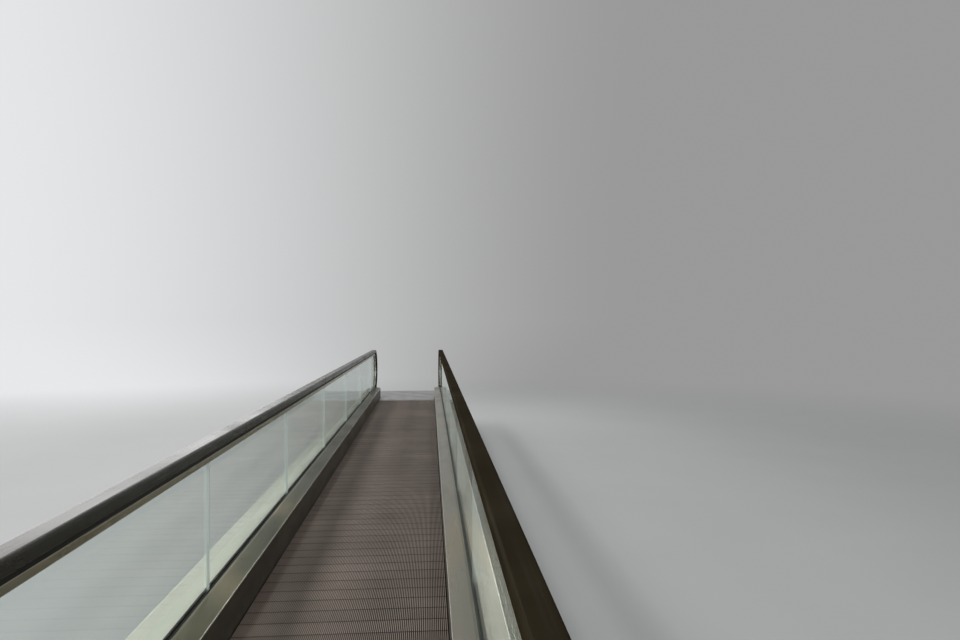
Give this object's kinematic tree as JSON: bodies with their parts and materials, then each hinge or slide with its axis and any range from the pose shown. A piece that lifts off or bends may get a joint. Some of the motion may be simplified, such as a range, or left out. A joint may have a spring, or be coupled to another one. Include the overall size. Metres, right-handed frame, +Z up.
{
  "type": "moving walkway",
  "caption": "Level moving walkway with ribbed pallets between glass balustrades with black handrails, on an open steel truss with levelling feet.",
  "frame": {"origin": "on the underside of the feet, midway along and midway across", "axes": "+Y along the way people travel, +X to the right across the walkway, +Z up"},
  "size_m": [1.586, 14.4, 1.55],
  "materials": {
    "truss_paint": "satin grey paint",
    "frame_paint": "satin primer",
    "bearing_paint": "satin machine paint",
    "zinc_steel": "zinc coated, dull",
    "track_steel": "rolled, polished by use",
    "chain_steel": "oiled dark steel",
    "pallet_aluminium": "die cast, worn, dusty",
    "comb_aluminium": "machined",
    "cover_steel": "ribbed and worn",
    "skirt_steel": "dark satin coating",
    "deck_steel": "brushed along its length",
    "guide_steel": "brushed",
    "clear_glass": "clear, toughened",
    "gasket_rubber": "matt black",
    "black_plastic": "moulded",
    "handrail_rubber": "smooth, glossy from use"
  },
  "bodies": {
    "root": {"truss_side_left": "truss_paint", "truss_side_right": "truss_paint", "truss_end_plates": "truss_paint", "truss_bottom_beams": "truss_paint", "support_feet": "zinc_steel", "oil_pan": "zinc_steel", "cross_frames": "frame_paint", "upper_tracks": "track_steel", "return_tracks": "track_steel", "pallets_upper": "pallet_aluminium", "pallets_at_combs": "pallet_aluminium", "pallets_return": "pallet_aluminium", "pallets_turning_near": "pallet_aluminium", "pallets_turning_far": "pallet_aluminium", "pallet_chain_left": "chain_steel", "pallet_chain_right": "chain_steel", "sprocket_shaft_near": "track_steel", "sprocket_shaft_far": "track_steel", "shaft_bearings": "bearing_paint", "drive_unit": "bearing_paint", "drive_chain": "chain_steel", "drive_bedplate": "truss_paint", "landing_frames": "zinc_steel", "floor_covers_near": "cover_steel", "floor_covers_far": "cover_steel", "comb_plates": "cover_steel", "comb_segments_near": "comb_aluminium", "comb_segments_far": "comb_aluminium", "balustrade_brackets": "zinc_steel", "skirt_left": "skirt_steel", "skirt_right": "skirt_steel", "inner_deck_left": "deck_steel", "inner_deck_right": "deck_steel", "outer_deck_left": "deck_steel", "outer_deck_right": "deck_steel", "deck_end_caps": "deck_steel", "handrail_inlets": "black_plastic", "glass_clamps": "comb_aluminium", "glass_gaskets": "gasket_rubber", "glass_left": "clear_glass", "glass_right": "clear_glass", "handrail_guide_left": "guide_steel", "handrail_guide_right": "guide_steel", "handrail_left": "handrail_rubber", "handrail_right": "handrail_rubber", "handrail_rollers": "track_steel"}
  },
  "joints": []
}
